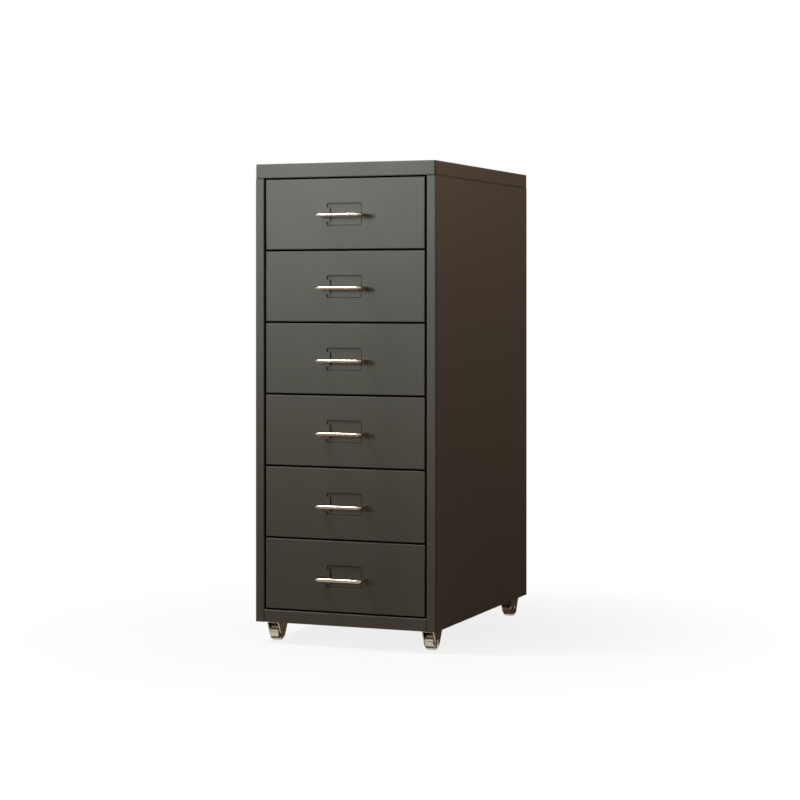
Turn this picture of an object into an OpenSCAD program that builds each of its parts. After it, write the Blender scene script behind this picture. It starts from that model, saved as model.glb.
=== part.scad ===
// Small sheet-steel drawer cabinet: a folded casing on four swivel castors, with six drawers
// that hang by their side flanges in channel runners.
// Millimetres. +X to the right of someone facing the drawers, -Y out of the drawer fronts, +Z up.
// Origin: on the floor, midway across the width and midway between the handles and the back.

/* [Casing] */
// Width of the body
body_w = 280; // [260:1:340]
// Depth of the body, front faces to back
body_d = 410; // [380:1:460]
// Height of the body, lower edge of the side panels to the top of the lid
body_h = 665; // [560:1:800]
// Thickness of the casing's sheet steel
sheet = 0.8; // [0.6:0.1:1.2]
// Inside radius of the folds
fold_r = 0.8; // [0.5:0.1:1.2]
// Width of the front posts beside the drawers
post_w = 13.8; // [12:0.1:18]
// Depth of the posts' inner return
post_return = 12; // [8:0.5:12]
// Width of the side panels' rear flanges
rear_flange = 15; // [12:0.5:20]
// Width of the side panels' top flanges, which carry the lid
top_flange = 16; // [14:0.5:24]
// Gap between pieces of the casing that only meet at a joint line
seam = 0.5; // [0.3:0.1:0.8]

/* [Lid] */
// Height of the lid's skirt
lid_skirt = 20.6; // [16:0.1:30]
// Radius of the lid's upright corners
lid_corner = 3; // [2.5:0.1:6]
// Radius of the lid's upper rim
lid_rim = 1.6; // [1.2:0.1:2.4]
// Width of the stiffening return under the lid's front skirt
lid_return = 8; // [4:0.5:12]
// Diameter of the weld studs under the lid
stud_d = 4; // [3:0.5:5]

/* [Base] */
// Height of the front rail under the lowest drawer
rail_h = 18.3; // [16:0.1:24]
// Depth of the return along the rail's lower edge and of the tabs at its ends
rail_return = 9; // [4:0.5:14]
// Height of the base pan's side and rear flanges
pan_flange = 12; // [8:0.5:15]

/* [Drawers] */
// Number of drawers
drawer_count = 6; // [6]
// Gap above, below and between the drawer fronts
drawer_gap = 2.6; // [2:0.1:4]
// Gap between a drawer front and each post
side_gap = 2.8; // [2:0.1:4]
// Thickness of the drawers' sheet steel
drawer_sheet = 0.7; // [0.5:0.1:0.9]
// Depth of the folded drawer front
shell_d = 13; // [12.5:0.5:20]
// Outer radius of the drawer front's edges
shell_edge = 1.3; // [0.8:0.1:2]
// Height of the lip behind the drawer front's lower edge, which the tray is welded to
shell_lip = 15; // [12:0.5:20]
// Overlap of the upper lip on the tray's front wall
lip_lap = 2; // [1.5:0.1:4]
// Length of the tray behind its front
tray_len = 375; // [320:1:380]
// Gap between the tray's bottom and the drawer front's lower edge
tray_lift = 4; // [3:0.5:10]
// Distance of the tray's side flanges below the drawer front's upper edge
flange_drop = 13.9; // [12:0.1:30]
// Width of the tray's side flanges
flange_w = 8; // [6:0.5:9]
// How far the side flanges stay inside the drawer front's ends
flange_inset = 1; // [0.5:0.1:1.5]
// Width of the returns along the top of the tray's end walls
wall_return = 6; // [4:0.5:10]

/* [Runners] */
// Distance that a drawer pulls out
drawer_travel = 290; // [150:5:300]
// Thickness of the runner's steel
runner_t = 1; // [0.8:0.1:1.4]
// Length of the runners
runner_len = 380; // [350:1:385]
// Clear height between the runner's two ledges
channel_h = 7; // [6.6:0.1:9]
// Sideways gap between the tray wall and the runner's ledges
runner_gap = 3; // [1.5:0.1:4]
// Running clearance of a drawer in its runners
slide_fit = 0.2; // [0.1:0.05:0.3]
// Gap left at a drawer's stops
stop_gap = 0.5; // [0.3:0.1:1]
// Height of the stop tabs on the tray's flanges
stop_h = 5; // [4:0.1:5.4]
// Width of the stop tabs
tab_w = 4; // [3:0.5:4.5]
// Distance of the runner's stop lip behind its front end
stop_in = 4; // [3:0.5:8]
// Clearance of the tray's flange under the stop lip
stop_pass = 1; // [0.6:0.1:1.4]

/* [Label holder] */
// Width of the stamped label recess
label_w = 54.2; // [40:0.1:60]
// Height of the label recess
label_h = 32.6; // [24:0.1:40]
// Corner radius of the label recess
label_corner = 3; // [2:0.1:5]
// Depth of the label recess
label_depth = 1.2; // [1:0.1:1.6]
// How far the recess's walls slope in
label_slope = 0.9; // [0.6:0.1:1.4]
// Reach of the lanced lip that a label is tucked under
lip_reach = 4.9; // [3:0.1:8]
// Height of the lanced lip
lip_h = 20.5; // [12:0.1:24]
// Angle that the lip stands out of the drawer's front
lip_tilt = 4; // [0:0.5:8]
// Gap between the lip's free edge and the recess's floor
lip_slot = 1.1; // [0.5:0.1:2]
// How far the label recess sits below the front's middle
label_drop = 0.6; // [0:0.1:4]

/* [Handles] */
// Diameter of the handle's rod
handle_d = 5; // [4:0.1:6]
// Distance between the centres of the handle's legs
handle_span = 68; // [62:0.1:96]
// Reach of the handle in front of the drawer
handle_reach = 27; // [18:0.5:35]
// How far the handle sits below the label recess's middle
handle_drop = 1.9; // [0:0.1:4]
// Centreline radius of the handle's two bends
handle_bend = 6; // [4:0.5:9]
// Diameter of the handle's threaded ends
handle_thread = 4; // [3:0.5:4]

/* [Castors] */
// Distance of the castor stems from the body's sides
castor_side = 19; // [18:0.5:40]
// Distance of the front castor stems from the front faces
castor_front = 41; // [36:0.5:60]
// Distance of the rear castor stems from the back
castor_rear = 36; // [34:0.5:60]
// Diameter of the wheels
wheel_d = 25; // [24:0.5:30]
// Width of the wheels at the tread
wheel_w = 14; // [10:0.5:18]
// Radius of the tread's edges
tread_edge = 1.8; // [1:0.1:3]
// Horizontal distance between the swivel axis and the axle
trail = 6; // [5:0.5:8]
// Thickness of the fork's steel
fork_t = 1.5; // [1.2:0.1:2]
// Gap between the wheel's hub and each cheek of the fork
hub_gap = 0.4; // [0.3:0.1:0.8]
// Gap between the wheel and the fork's crown
crown_gap = 2; // [1.8:0.1:4]
// Length of the fork's crown ahead of the axle
crown_fore = 16; // [13:0.5:22]
// Length of the fork's crown behind the axle
crown_aft = 17; // [16:0.5:24]
// Radius of the fork's rounded tips
fork_tip_r = 8; // [6:0.5:10]
// Inside radius of the fork's bends
fork_bend = 1; // [0.6:0.1:1.4]
// Diameter of the axle
axle_d = 4; // [3:0.5:5]
// Diameter of the castor's threaded stem
stem_d = 8; // [6:0.5:8]
// Height of the hexagon on the stem
hex_h = 4.7; // [3:0.1:8]
// Width across the hexagon's flats
hex_af = 14; // [13:0.5:17]
// Height of the shoulder above the hexagon
shoulder_h = 7; // [2:0.1:10]
// Diameter of the shoulder
shoulder_d = 12; // [10:0.5:14]
// Thickness of the plates that back the base pan at the stems
plate_t = 2; // [1.5:0.1:3]
// Corner radius of the backing plates
plate_corner = 3; // [1:0.5:6]
// How far the hub stands out of the tread on each side
hub_proud = 0.5; // [0.2:0.1:1]
// Depth of the wheel's recessed sides
web_recess = 1.5; // [0.5:0.1:3]
// Width of the rim around the recessed sides
wheel_rim = 2.4; // [1.5:0.1:4]
// Diameter of the axle's heads
axle_head_d = 7; // [6:0.1:9]
// Height of the axle's heads
axle_head_h = 1.2; // [0.8:0.1:2]
// Diameter of the flat on the axle's heads
axle_face_d = 4.9; // [3:0.1:6]

/* [Swivel bearings] */
// Diameter of the kingpin
pin_d = 6; // [5:0.5:7]
// Diameter of the kingpin's riveted head
pin_head_d = 10; // [8:0.5:12]
// Height of the kingpin's head
pin_head_h = 1.3; // [0.8:0.1:1.5]
// Diameter of the balls
ball_d = 2; // [1.6:0.1:2.2]
// Number of balls in each bearing
ball_count = 9; // [6:1:12]
// Radius of the ring of balls
ball_ring_r = 7.4; // [7:0.1:8]
// Running clearance around the balls
ball_fit = 0.3; // [0.2:0.05:0.4]
// Height of the lower race on the crown
race_step = 1.8; // [1.2:0.1:2.4]
// Gap between the kingpin and the lower race
race_gap = 1.8; // [1:0.1:2]
// Wall of the lower race outside the balls' track
race_edge = 0.6; // [0.4:0.1:0.8]
// Gap between the two races
race_clear = 1.4; // [1:0.1:1.8]
// Thickness of the cap that holds the upper race
cap_t = 3.1; // [2.4:0.1:4]
// Thickness of the cap's skirt
cap_wall = 0.9; // [0.6:0.1:1.2]
// Sideways gap between the lower race and the cap's skirt
cap_gap = 0.7; // [0.4:0.1:1]
// Gap between the cap's skirt and the crown
cap_lift = 0.5; // [0.4:0.1:1]

/* [Fasteners] */
// Width across the flats of the small nuts
nut_af = 7; // [6:0.5:8]
// Height of the small nuts
nut_h = 3.2; // [2.4:0.1:4]
// Width across the flats of the castor nuts
stem_nut_af = 13; // [11:0.5:14]
// Height of the castor nuts
stem_nut_h = 4; // [3:0.5:5]
// Thread that stands out beyond a nut
thread_out = 1; // [0.5:0.1:1.5]
// Diameter of the back panel's screws
screw_d = 3; // [2.5:0.1:3.5]
// Length of the back panel's screws
screw_len = 6; // [5:0.5:9]
// Diameter of the screws' heads
screw_head_d = 6; // [5:0.1:7]
// Height of the screws' heads
screw_head_h = 1.8; // [1.2:0.1:2.4]
// Diameter of the flat on the screws' heads
screw_face_d = 4; // [3:0.1:5]
// Number of screws up each side of the back
screw_rows = 4; // [3:1:6]
// Height of the lowest screws above the body's lower edge
screw_foot = 48; // [30:1:90]
// Distance of the highest screws below the lid's skirt
screw_head_room = 24; // [12:1:60]
// Distance of the lid's studs from the front and the back
stud_y = 40; // [24:1:100]

/* [Hidden] */
$fn = 64;
eps = 0.01;               // overlap that joins two blocks into one solid
bend_steps = 5;           // straight steps in each drawn fold
run_fit = 0.05;           // radial clearance of a pin that turns in its hole
bolt_fit = 0.2;           // radial clearance of a fastener in a drilled hole
nut_fit = 0.05;           // radial clearance between a nut and its thread

paint = "#55544d";
inner_paint = "#4b4a44";
zinc = "#b9bab6";
nickel = "#cfc6b8";
chrome = "#c2bcb2";

// Casing
half_w = body_w / 2;
inner_x = half_w - sheet;                      // inside face of a side panel
post_x = half_w - post_w;                      // inner edge of a front post
rear_y = body_d - sheet;                       // inside face of the rear flanges

// Castor heights, from the floor up
axle_z = wheel_d / 2;
crown_z = wheel_d + crown_gap;                 // underside of the fork's crown
fork_top = crown_z + fork_t;
ball_z = fork_top + race_step + race_clear / 2;
cap_z = fork_top + race_step + race_clear;
hex_z = cap_z + cap_t;
shoulder_z = hex_z + hex_h;
plate_z = shoulder_z + shoulder_h;
pan_z = plate_z + plate_t;                     // underside of the base pan
pan_top = pan_z + sheet;

ground_gap = pan_top - rail_h;                 // lower edge of the body above the floor
lid_top = ground_gap + body_h;
lid_z = lid_top - lid_skirt;                   // lower edge of the lid's skirt
joint_z = lid_z - seam;                        // top of the posts and side walls

// Drawer fronts
front_w = body_w - 2 * (post_w + side_gap);
front_h = (body_h - lid_skirt - rail_h - (drawer_count + 1) * drawer_gap) / drawer_count;
drawer_pitch = front_h + drawer_gap;

// Trays and runners
tray_y = shell_d;                              // front of the tray
flange_reach = front_w / 2 - flange_inset;     // outer edge of the tray's side flanges
flange_z = front_h - flange_drop;              // underside of the flanges
tray_x = flange_reach - flange_w;              // outer face of the tray's side walls
flange_top = flange_z + drawer_sheet;
ledge_x = tray_x + runner_gap;                 // inner edge of the runner's ledges
ledge_z = flange_z - slide_fit;                // upper face of the lower ledge
runner_y = shell_d + stop_gap;                 // front end of the runners
lip_back = runner_y + stop_in + runner_t;      // rear face of the runner's stop lip
tab_y = lip_back + stop_gap + drawer_travel;   // front face of the tray's stop tab

// Handles
label_z = front_h / 2 - label_drop;
handle_z = label_z - handle_drop;
handle_y = handle_d / 2 - handle_reach;        // rod's centreline in front of the drawer

// Fasteners
screw_x = half_w - rear_flange / 2;
screw_low = ground_gap + screw_foot;
screw_high = joint_z - screw_head_room;
stud_x = inner_x - seam - top_flange / 2;
stud_len = sheet + nut_h + thread_out;

// Castors
stem_len = plate_t + sheet + stem_nut_h + thread_out;
plate_w = 2 * (castor_side - 2 * sheet - fold_r - seam);   // backing plate, up to the pan's side fold
cheek_in = wheel_w / 2 + hub_proud + hub_gap;              // inside face of a fork cheek
track_r = ball_d / 2 + ball_fit;                           // radius of the balls' track
race_in_r = pin_d / 2 + race_gap;
race_out_r = ball_ring_r + track_r + race_edge;
cap_in_r = race_out_r + cap_gap;
cap_out_r = cap_in_r + cap_wall;

// The body's front plane, with the handles in front and the screw heads behind it balanced about Y = 0
front_y = (handle_reach - body_d - screw_head_h) / 2;

// [name, side of X, side of Y] of each castor: -1 is left or front
CASTORS = [["front_left", -1, -1], ["front_right", 1, -1], ["rear_left", -1, 1], ["rear_right", 1, 1]];

// ---- Helpers -------------------------------------------------------------------------------

function unit(v) = v / norm(v);
function left_of(v) = [-v.y, v.x];

// One face of a folded sheet: the centreline's corners moved sideways by off, each with its bend
function sheet_face(path, off, r) = [
    path[0] + left_of(unit(path[1] - path[0])) * off,
    for (i = [1 : 1 : len(path) - 2])
        let (
            come = unit(path[i] - path[i - 1]),
            go = unit(path[i + 1] - path[i]),
            centre = path[i] + (go - come) * r,
            bend = r - sign(cross(come, go)) * off
        )
        for (k = [0 : bend_steps])
            let (a = 90 * k / bend_steps)
            centre + (come * sin(a) - go * cos(a)) * bend,
    path[len(path) - 1] + left_of(unit(path[len(path) - 1] - path[len(path) - 2])) * off
];

// Section of a folded sheet of thickness t, along a centreline with square corners
module folded_section(path, t, r_in) {
    r = r_in + t / 2;
    near = sheet_face(path, t / 2, r);
    far = sheet_face(path, -t / 2, r);
    polygon(concat(near, [for (i = [len(far) - 1 : -1 : 0]) far[i]]));
}

module rounded_rect(w, h, r) {
    square([w - 2 * r, h], center = true);
    square([w, h - 2 * r], center = true);
    for (x = [-1, 1], y = [-1, 1])
        translate([x * (w / 2 - r), y * (h / 2 - r)])
            circle(r);
}

// Turns a section drawn in X and Z so that it runs back along Y
module along_y(y0, length) {
    translate([0, y0 + length, 0])
        rotate([90, 0, 0])
            linear_extrude(length)
                children();
}

// Turns a section drawn in Y and Z so that it runs along X, centred
module along_x(length) {
    rotate([90, 0, 90])
        linear_extrude(length, center = true)
            children();
}

module hexagon(af, h) {
    cylinder(d = af / cos(30), h = h, $fn = 6);
}

// Places what is drawn with Y = 0 in the body's front plane
module from_front() {
    translate([0, front_y, 0])
        children();
}

// Places what is drawn on a drawer's front plane and lower edge; drawer 1 is the top one
module at_drawer(i) {
    translate([0, front_y, pan_top + drawer_gap + (drawer_count - i) * drawer_pitch])
        children();
}

function stem_x(c) = c[1] * (half_w - castor_side);
function stem_y(c) = c[2] < 0 ? castor_front : body_d - castor_rear;

// Places what is drawn about a castor's swivel axis, with its wheel towards -Y
module at_castor(c) {
    translate([stem_x(c), front_y + stem_y(c), 0])
        rotate([0, 0, c[2] < 0 ? 0 : 180])
            children();
}

module at_stem_holes() {
    for (c = CASTORS)
        translate([stem_x(c), stem_y(c), 0])
            children();
}

module at_studs() {
    for (x = [-1, 1], y = [stud_y, body_d - stud_y])
        translate([x * stud_x, y, 0])
            children();
}

// Points along Y at the screws that hold the back panel
module at_back_screws() {
    for (x = [-1, 1], i = [0 : screw_rows - 1])
        translate([x * screw_x, body_d, screw_low + i * (screw_high - screw_low) / (screw_rows - 1)])
            rotate([90, 0, 0])
                children();
}

// ---- Casing --------------------------------------------------------------------------------

// A block with rounded upright corners and a rounded upper rim
module lid_block(w, d, h, corner, rim) {
    hull()
        for (a = [0 : 90 / bend_steps : 90])
            translate([0, 0, a == 0 ? 0 : h - rim - eps + rim * sin(a)])
                linear_extrude(a == 0 ? h - rim : eps)
                    rounded_rect(w - 2 * rim * (1 - cos(a)), d - 2 * rim * (1 - cos(a)),
                                 corner - rim * (1 - cos(a)), $fn = 32);
}

module top_panel() {
    color(paint)
    from_front() {
        translate([0, body_d / 2, lid_z])
            difference() {
                lid_block(body_w, body_d, lid_skirt, lid_corner, lid_rim);
                translate([0, 0, -eps])
                    lid_block(body_w - 2 * sheet, body_d - 2 * sheet, lid_skirt - sheet + eps,
                              lid_corner - sheet, lid_rim - sheet);
            }
        translate([-half_w + lid_corner, sheet - eps, lid_z])
            cube([body_w - 2 * lid_corner, lid_return - sheet, sheet]);
        at_studs()
            translate([0, 0, lid_top - sheet - stud_len])
                cylinder(d = stud_d, h = stud_len + eps);
    }
}

// Right-hand side panel: post, wall and rear flange, stepped in under the lid
module side_panel() {
    wall_x = half_w - sheet / 2;
    step_x = inner_x - seam - sheet / 2;
    flange_mid_z = lid_top - sheet - sheet / 2;
    from_front()
        difference() {
            union() {
                translate([0, 0, ground_gap])
                    linear_extrude(joint_z - ground_gap)
                        folded_section([
                            [half_w - rear_flange, body_d - sheet / 2],
                            [wall_x, body_d - sheet / 2],
                            [wall_x, sheet / 2],
                            [post_x + sheet / 2, sheet / 2],
                            [post_x + sheet / 2, post_return]
                        ], sheet, fold_r);
                translate([step_x - sheet / 2, lid_corner, joint_z - sheet])
                    cube([wall_x - step_x + sheet / 2, body_d - 2 * lid_corner, sheet]);
                along_y(lid_corner, body_d - 2 * lid_corner)
                    folded_section([
                        [step_x, joint_z - sheet],
                        [step_x, flange_mid_z],
                        [step_x + sheet / 2 - top_flange, flange_mid_z]
                    ], sheet, fold_r);
            }
            at_studs()
                translate([0, 0, lid_z])
                    cylinder(d = stud_d + 2 * bolt_fit, h = lid_skirt);
            at_back_screws()
                cylinder(d = screw_d + 2 * bolt_fit, h = 2 * (sheet + eps), center = true);
        }
}

module left_side_panel() {
    color(paint)
        mirror([1, 0, 0])
            side_panel();
}

module right_side_panel() {
    color(paint)
        side_panel();
}

module back_panel() {
    panel_w = body_w - 2 * lid_corner;
    panel_z = ground_gap + seam;
    panel_top = lid_top - 2 * sheet - seam;
    color(paint)
    from_front()
        difference() {
            translate([-panel_w / 2, rear_y - sheet, panel_z])
                cube([panel_w, sheet, panel_top - panel_z]);
            at_back_screws()
                cylinder(d = screw_d + 2 * nut_fit, h = 2 * (2 * sheet + eps), center = true);
        }
}

// Base pan: its front edge folds down into the rail under the lowest drawer, with a tab at each end
module bottom_panel() {
    mid_z = pan_z + sheet / 2;
    back_y = rear_y - sheet;
    rail_x = post_x - seam;
    wing_y = post_return + seam;
    color(paint)
    from_front()
        difference() {
            union() {
                along_x(2 * rail_x)
                    folded_section([
                        [back_y - sheet / 2, mid_z - pan_flange],
                        [back_y - sheet / 2, mid_z],
                        [sheet / 2, mid_z],
                        [sheet / 2, ground_gap + sheet / 2],
                        [rail_return, ground_gap + sheet / 2]
                    ], sheet, fold_r);
                for (side = [0, 1])
                    mirror([side, 0, 0]) {
                        along_y(wing_y, back_y - 2 * sheet - wing_y)
                            folded_section([
                                [rail_x - sheet, mid_z],
                                [inner_x - sheet / 2, mid_z],
                                [inner_x - sheet / 2, mid_z - pan_flange]
                            ], sheet, fold_r);
                        translate([rail_x - sheet, sheet - eps, ground_gap + sheet / 2])
                            cube([sheet, rail_return - sheet + eps, mid_z - ground_gap - sheet / 2]);
                    }
            }
            at_stem_holes()
                translate([0, 0, pan_z - eps])
                    cylinder(d = stem_d + 2 * bolt_fit, h = sheet + 2 * eps);
        }
}

// ---- Runners -------------------------------------------------------------------------------

// Right-hand runner: a channel with its mouth towards the drawer and a stop lip at the front
module runner(i) {
    low_z = ledge_z - runner_t / 2;
    high_z = ledge_z + channel_h + runner_t / 2;
    web_x = inner_x - runner_t / 2;
    lip_z = flange_top + stop_pass;
    color(zinc)
    at_drawer(i) {
        along_y(runner_y, runner_len)
            folded_section([[ledge_x, low_z], [web_x, low_z], [web_x, high_z], [ledge_x, high_z]],
                           runner_t, fold_r);
        translate([ledge_x, runner_y + stop_in, lip_z])
            cube([tab_w, runner_t, high_z - lip_z]);
    }
}

// ---- Drawers -------------------------------------------------------------------------------

// A block whose front edges are rounded, standing on Z = 0 and running back from Y = 0
module shell_block(w, h, d, r) {
    hull()
        for (a = [0 : 90 / bend_steps : 90])
            translate([0, r * (1 - sin(a)), h / 2])
                rotate([-90, 0, 0])
                    linear_extrude(d - r * (1 - sin(a)))
                        square([w - 2 * r * (1 - cos(a)), h - 2 * r * (1 - cos(a))], center = true);
}

// The stamped pocket, grown by wall on every side
module label_pocket(wall) {
    translate([0, 0, label_z])
        rotate([-90, 0, 0])
            hull() {
                translate([0, 0, -eps])
                    linear_extrude(eps)
                        rounded_rect(label_w + 2 * wall, label_h + 2 * wall, label_corner, $fn = 32);
                linear_extrude(label_depth + wall)
                    rounded_rect(label_w + 2 * (wall - label_slope), label_h + 2 * (wall - label_slope),
                                 label_corner - label_slope, $fn = 32);
            }
}

module drawer_front(i) {
    t = drawer_sheet;
    color(paint)
    at_drawer(i) {
        difference() {
            union() {
                difference() {
                    shell_block(front_w, front_h, shell_d, shell_edge);
                    translate([0, t, t])
                        shell_block(front_w - 2 * t, front_h - 2 * t, shell_d, shell_edge - t);
                }
                label_pocket(t);
            }
            label_pocket(0);
            for (x = [-1, 1])
                translate([x * handle_span / 2, -eps, handle_z])
                    rotate([-90, 0, 0])
                        cylinder(d = handle_thread + 2 * bolt_fit, h = t + 2 * eps);
            translate([label_slope - label_w / 2, label_depth - t / 2, label_z - lip_h / 2])
                cube([lip_reach + lip_slot - label_slope, 2 * t, lip_h]);
        }
        translate([-label_w / 2, 0, label_z - lip_h / 2])
            rotate([0, 0, -lip_tilt])
                translate([-t, 0, 0])
                    cube([lip_reach + t, t, lip_h]);
        for (z = [[t / 2, shell_lip], [flange_top - lip_lap, front_h - t / 2]])
            translate([t / 2 - front_w / 2, shell_d - t, z[0]])
                cube([front_w - t, t, z[1] - z[0]]);
    }
}

module drawer_tray(i) {
    t = drawer_sheet;
    wall_x = tray_x - t / 2;
    mid_z = flange_z + t / 2;
    low_z = tray_lift + t / 2;
    back = tray_y + tray_len;
    color(inner_paint)
    at_drawer(i) {
        along_y(tray_y, tray_len)
            folded_section([
                [flange_reach, mid_z], [wall_x, mid_z], [wall_x, low_z],
                [-wall_x, low_z], [-wall_x, mid_z], [-flange_reach, mid_z]
            ], t, fold_r);
        along_x(2 * wall_x)
            folded_section([[tray_y + t / 2, low_z], [tray_y + t / 2, mid_z], [tray_y + wall_return, mid_z]],
                           t, fold_r);
        along_x(2 * wall_x)
            folded_section([[back - t / 2, low_z], [back - t / 2, mid_z], [back - wall_return, mid_z]],
                           t, fold_r);
        for (x = [-1, 1])
            translate([x * (ledge_x + tab_w / 2 + slide_fit), tab_y + t / 2, flange_z + stop_h / 2])
                cube([tab_w, t, stop_h], center = true);
    }
}

// The rod: two legs, two quarter bends and a straight grip, with threaded ends behind the shoulders
module drawer_handle(i) {
    leg_x = handle_span / 2;
    bend_y = handle_y + handle_bend;
    thread_len = drawer_sheet + nut_h + thread_out;
    color(nickel)
    at_drawer(i)
        translate([0, 0, handle_z]) {
            translate([0, handle_y, 0])
                rotate([0, 90, 0])
                    cylinder(d = handle_d, h = handle_span - 2 * handle_bend, center = true);
            for (side = [0, 1])
                mirror([side, 0, 0]) {
                    translate([leg_x - handle_bend, bend_y, 0])
                        rotate([0, 0, -90])
                            rotate_extrude(angle = 90)
                                translate([handle_bend, 0])
                                    circle(d = handle_d);
                    translate([leg_x, bend_y, 0])
                        rotate([-90, 0, 0])
                            cylinder(d = handle_d, h = -bend_y);
                    translate([leg_x, -eps, 0])
                        rotate([-90, 0, 0])
                            cylinder(d = handle_thread, h = thread_len + eps);
                }
        }
}

module nut(bore, af, h) {
    difference() {
        hexagon(af, h);
        translate([0, 0, -eps])
            cylinder(d = bore + 2 * nut_fit, h = h + 2 * eps);
    }
}

module drawer_handle_nuts(i) {
    color(zinc)
    at_drawer(i)
        for (x = [-1, 1])
            translate([x * handle_span / 2, drawer_sheet, handle_z])
                rotate([-90, 0, 0])
                    nut(handle_thread, nut_af, nut_h);
}

// ---- Fasteners of the casing ---------------------------------------------------------------

module lid_nuts() {
    color(zinc)
    from_front()
        at_studs()
            translate([0, 0, lid_top - 2 * sheet - nut_h])
                nut(stud_d, nut_af, nut_h);
}

// Pan-head screws through the rear flanges into the back panel
module back_screws() {
    color(zinc)
    from_front()
        at_back_screws() {
            translate([0, 0, -eps])
                cylinder(d = screw_d, h = screw_len);
            rotate([180, 0, 0])
                rotate_extrude()
                    polygon([
                        [0, 0], [screw_head_d / 2, 0], [screw_head_d / 2, screw_head_h / 2],
                        [screw_face_d / 2, screw_head_h], [0, screw_head_h]
                    ]);
        }
}

module castor_plates() {
    color(zinc)
    from_front()
        at_stem_holes()
            translate([0, 0, plate_z])
                difference() {
                    linear_extrude(plate_t)
                        rounded_rect(plate_w, plate_w, plate_corner);
                    translate([0, 0, -eps])
                        cylinder(d = stem_d + 2 * bolt_fit, h = plate_t + 2 * eps);
                }
}

module castor_nuts() {
    color(zinc)
    from_front()
        at_stem_holes()
            translate([0, 0, pan_top])
                nut(stem_d, stem_nut_af, stem_nut_h);
}

// ---- Castors -------------------------------------------------------------------------------

// Stem, hexagon, race cap and kingpin: one turned piece, riveted over under the fork's crown
module castor_stems() {
    color(chrome)
    for (c = CASTORS)
        at_castor(c)
            difference() {
                union() {
                    translate([0, 0, crown_z - run_fit - pin_head_h])
                        cylinder(d = pin_head_d, h = pin_head_h);
                    translate([0, 0, crown_z - run_fit - eps])
                        cylinder(d = pin_d, h = cap_z - crown_z + cap_t / 2);
                    translate([0, 0, fork_top + cap_lift])
                        difference() {
                            cylinder(r = cap_out_r, h = hex_z - fork_top - cap_lift);
                            translate([0, 0, -eps])
                                cylinder(r = cap_in_r, h = cap_z - fork_top - cap_lift + eps);
                        }
                    translate([0, 0, hex_z - eps])
                        hexagon(hex_af, hex_h + eps);
                    translate([0, 0, shoulder_z - eps])
                        cylinder(d = shoulder_d, h = shoulder_h + eps);
                    translate([0, 0, plate_z - eps])
                        cylinder(d = stem_d, h = stem_len + eps);
                }
                ball_track();
            }
}

// The ring that the balls run in
module ball_track() {
    translate([0, 0, ball_z])
        rotate_extrude()
            translate([ball_ring_r, 0])
                circle(r = track_r);
}

module castor_balls() {
    color(zinc)
    for (c = CASTORS)
        at_castor(c)
            for (k = [0 : ball_count - 1])
                rotate([0, 0, 360 * k / ball_count])
                    translate([ball_ring_r, 0, ball_z])
                        sphere(d = ball_d, $fn = 24);
}

// Where the line from p touches the circle of radius r about the origin; turn is 1 or -1
function touch_point(p, r, turn) =
    let (a = atan2(p.y, p.x) + turn * acos(r / norm(p)))
    [r * cos(a), r * sin(a)];

// Side view of a cheek about the axle: rounded tip, straight flanks, full length at the crown
module cheek_outline() {
    top = fork_top - axle_z;
    low = crown_z - axle_z;
    fore = [-crown_fore, low];
    aft = [crown_aft, low];
    circle(fork_tip_r);
    polygon([
        [0, 0], touch_point(fore, fork_tip_r, 1), fore, [-crown_fore, top],
        [crown_aft, top], aft, touch_point(aft, fork_tip_r, -1)
    ]);
}

// Folded strap: two cheeks and a crown with the lower race
module castor_fork(c) {
    cheek_x = cheek_in + fork_t / 2;
    crown_mid = fork_top - fork_t / 2;
    color(chrome)
    at_castor(c)
        difference() {
            union() {
                intersection() {
                    along_y(-trail - crown_fore, crown_fore + crown_aft)
                        folded_section([
                            [-cheek_x, 0], [-cheek_x, crown_mid], [cheek_x, crown_mid], [cheek_x, 0]
                        ], fork_t, fork_bend);
                    translate([0, -trail, axle_z])
                        along_x(4 * cheek_x)
                            cheek_outline();
                }
                translate([0, 0, fork_top - eps])
                    cylinder(r = race_out_r, h = race_step + eps);
            }
            translate([0, 0, fork_top])
                cylinder(r = race_in_r, h = race_step + eps);
            translate([0, 0, crown_z - eps])
                cylinder(d = pin_d + 2 * run_fit, h = fork_t + 2 * eps);
            translate([0, -trail, axle_z])
                rotate([0, 90, 0])
                    cylinder(d = axle_d + 2 * run_fit, h = 4 * cheek_x, center = true);
            ball_track();
        }
}

// Rivet with a head outside each cheek
module castor_axle(c) {
    length = 2 * (cheek_in + fork_t);
    color(zinc)
    at_castor(c)
        translate([0, -trail, axle_z])
            rotate([0, 90, 0]) {
                cylinder(d = axle_d, h = length + 2 * eps, center = true);
                for (side = [0, 1])
                    mirror([0, 0, side])
                        translate([0, 0, length / 2])
                            cylinder(d1 = axle_head_d, d2 = axle_face_d, h = axle_head_h);
            }
}

// Half of the wheel's section: bore, hub, recessed web and tread with round edges
function wheel_half() = let (r = wheel_d / 2, w = wheel_w / 2, hub_r = axle_head_d / 2) [
    [axle_d / 2 + run_fit, w + hub_proud],
    [hub_r, w + hub_proud],
    [hub_r, w - web_recess],
    [r - wheel_rim, w - web_recess],
    [r - wheel_rim, w],
    for (a = [0 : 90 / bend_steps : 90])
        [r - tread_edge + tread_edge * sin(a), w - tread_edge + tread_edge * cos(a)]
];

module castor_wheel(c) {
    half = wheel_half();
    color(chrome)
    at_castor(c)
        translate([0, -trail, axle_z])
            rotate([0, 90, 0])
                rotate_extrude()
                    polygon(concat(half, [for (i = [len(half) - 1 : -1 : 0]) [half[i].x, -half[i].y]]));
}

// ---- Assembly ------------------------------------------------------------------------------

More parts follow.
